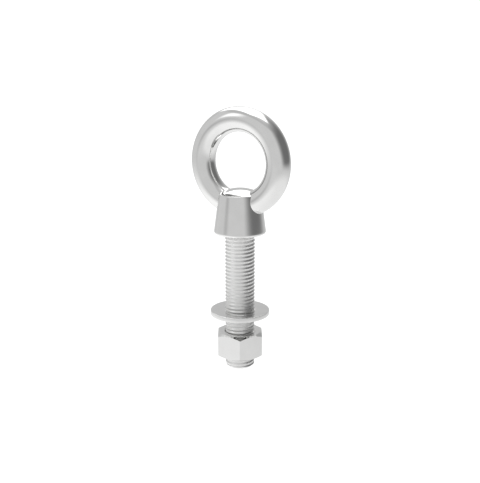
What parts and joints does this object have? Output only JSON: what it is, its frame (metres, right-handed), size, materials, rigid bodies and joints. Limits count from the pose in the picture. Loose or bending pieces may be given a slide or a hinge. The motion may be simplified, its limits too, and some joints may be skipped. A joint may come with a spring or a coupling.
{
  "type": "eye bolt",
  "caption": "Stainless lifting eye bolt with a conical collar, a long threaded shank, a flat washer and a hexagon nut.",
  "frame": {"origin": "centre of the collar's flat underside, on the thread's axis", "axes": "+Z along the thread's axis, up through the eye; the eye's own plane is XZ, so a load hangs through it along Y"},
  "size_m": [0.072, 0.04, 0.177],
  "materials": {
    "bolt_steel": "mirror-polished stainless steel",
    "washer_steel": "smooth stainless steel",
    "nut_steel": "bright drawn stainless steel"
  },
  "bodies": {
    "bolt": {"eye_bolt": "bolt_steel"},
    "washer": {"flat_washer": "washer_steel"},
    "nut": {"hex_nut": "nut_steel"}
  },
  "joints": [
    {"name": "washer_slide", "type": "slide", "parent": "bolt", "child": "washer", "axis": [0, 0, 1], "range_m": [-0.0225, 0.0534]},
    {"name": "nut_turn", "type": "hinge", "parent": "washer", "child": "nut", "pos_m": [0, 0, -0.0773], "axis": [0, 0, 1], "range_deg": [-3240, 7689.6]}
  ],
  "couplings": [
    {"joint": "washer_slide", "follows": "nut_turn", "m_per_rad": 0.00039789}
  ]
}
